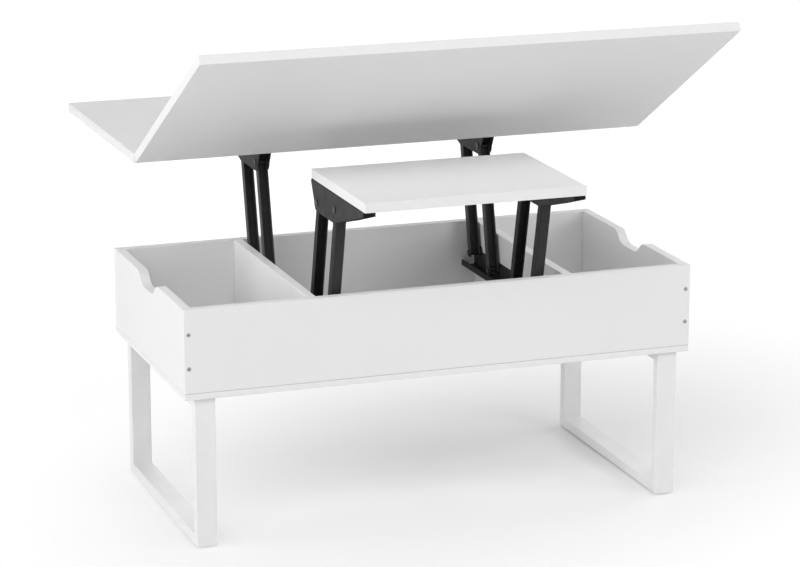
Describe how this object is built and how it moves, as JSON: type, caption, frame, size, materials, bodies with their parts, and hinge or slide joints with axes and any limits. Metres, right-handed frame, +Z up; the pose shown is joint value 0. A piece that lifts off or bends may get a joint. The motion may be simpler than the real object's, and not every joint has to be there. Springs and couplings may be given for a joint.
{
  "type": "convertible coffee table",
  "caption": "Coffee table with an open compartment case on tube frames, a folding large top on a rear lift and a small top on a front lift.",
  "frame": {"origin": "middle of the footprint of the whole table with both lifts open, on the floor", "axes": "+X along the case to the right, +Y from the front to the back, +Z up"},
  "size_m": [1.02, 0.9784, 0.9507],
  "materials": {
    "case_white": "white melamine on board, satin",
    "top_white": "white melamine on board, satin",
    "leg_white": "white powder coat, fine texture",
    "lift_black": "black powder coat, semi matt",
    "pin_black": "blackened steel",
    "screw_steel": "zinc plated",
    "hinge_steel": "nickel plated, brushed",
    "glide_rubber": "matt",
    "dowel_wood": "bare beech"
  },
  "bodies": {
    "case": {"bottom_panel": "case_white", "front_panel": "case_white", "back_panel": "case_white", "left_side_panel": "case_white", "right_side_panel": "case_white", "left_divider": "case_white", "right_divider": "case_white", "left_leg_top_bar": "leg_white", "left_leg_front_post": "leg_white", "left_leg_back_post": "leg_white", "left_leg_floor_bar": "leg_white", "right_leg_top_bar": "leg_white", "right_leg_front_post": "leg_white", "right_leg_back_post": "leg_white", "right_leg_floor_bar": "leg_white", "leg_glides": "glide_rubber", "leg_screws": "screw_steel", "case_screws": "screw_steel", "bottom_screws": "screw_steel", "panel_dowels": "dowel_wood", "left_large_rail": "lift_black", "right_large_rail": "lift_black", "left_small_rail": "lift_black", "right_small_rail": "lift_black", "large_rail_screws": "screw_steel", "rail_rivets": "pin_black", "large_base_pins": "pin_black", "small_base_pins": "pin_black", "large_pivot_spacers": "pin_black", "small_pivot_spacers": "pin_black", "large_stop_pins": "pin_black", "small_stop_pins": "pin_black"},
    "large_front_arms": {"left_large_front_arm": "lift_black", "right_large_front_arm": "lift_black"},
    "large_rear_arms": {"left_large_rear_arm": "lift_black", "right_large_rear_arm": "lift_black"},
    "large_top": {"flat_top": "top_white", "left_large_bracket": "lift_black", "right_large_bracket": "lift_black", "large_top_pins": "pin_black", "large_bracket_screws": "screw_steel", "hinge_flat_plates": "hinge_steel", "hinge_flat_screws": "screw_steel"},
    "leaf": {"leaf_top": "top_white", "hinge_leaf_plates": "hinge_steel", "hinge_leaf_screws": "screw_steel", "hinge_pins": "hinge_steel"},
    "small_rear_arms": {"left_small_rear_arm": "lift_black", "right_small_rear_arm": "lift_black"},
    "small_front_arms": {"left_small_front_arm": "lift_black", "right_small_front_arm": "lift_black"},
    "small_top": {"small_top": "top_white", "left_small_bracket": "lift_black", "right_small_bracket": "lift_black", "small_top_pins": "pin_black", "small_bracket_screws": "screw_steel"}
  },
  "joints": [
    {"name": "large_lift", "type": "hinge", "parent": "case", "child": "large_front_arms", "pos_m": [0, 0.02249, 0.39], "axis": [1, 0, 0], "range_deg": [0, 96.39]},
    {"name": "large_rear_arm_swing", "type": "hinge", "parent": "case", "child": "large_rear_arms", "pos_m": [0, 0.12549, 0.4], "axis": [1, 0, 0], "range_deg": [0, 96.4]},
    {"name": "large_top_level", "type": "hinge", "parent": "large_front_arms", "child": "large_top", "pos_m": [0, 0.07783, 0.6297], "axis": [1, 0, 0], "range_deg": [-96.4, 0]},
    {"name": "leaf_fold", "type": "hinge", "parent": "large_top", "child": "leaf", "pos_m": [0, -0.0313, 0.6882], "axis": [-1, 0, 0], "range_deg": [-30.4, 149.6]},
    {"name": "small_lift", "type": "hinge", "parent": "case", "child": "small_rear_arms", "pos_m": [0, -0.16251, 0.3717], "axis": [1, 0, 0], "range_deg": [-97.37, 0]},
    {"name": "small_front_arm_swing", "type": "hinge", "parent": "case", "child": "small_front_arms", "pos_m": [0, -0.26551, 0.3817], "axis": [1, 0, 0], "range_deg": [-97.37, 0]},
    {"name": "small_top_level", "type": "hinge", "parent": "small_rear_arms", "child": "small_top", "pos_m": [0, -0.21785, 0.6114], "axis": [1, 0, 0], "range_deg": [0, 97.37]}
  ],
  "couplings": [
    {"joint": "large_rear_arm_swing", "follows": "large_lift", "ratio": 1},
    {"joint": "large_top_level", "follows": "large_lift", "ratio": -1},
    {"joint": "small_lift", "follows": "large_lift", "ratio": -1.01},
    {"joint": "small_front_arm_swing", "follows": "large_lift", "ratio": -1.01},
    {"joint": "small_top_level", "follows": "large_lift", "ratio": 1.01}
  ]
}
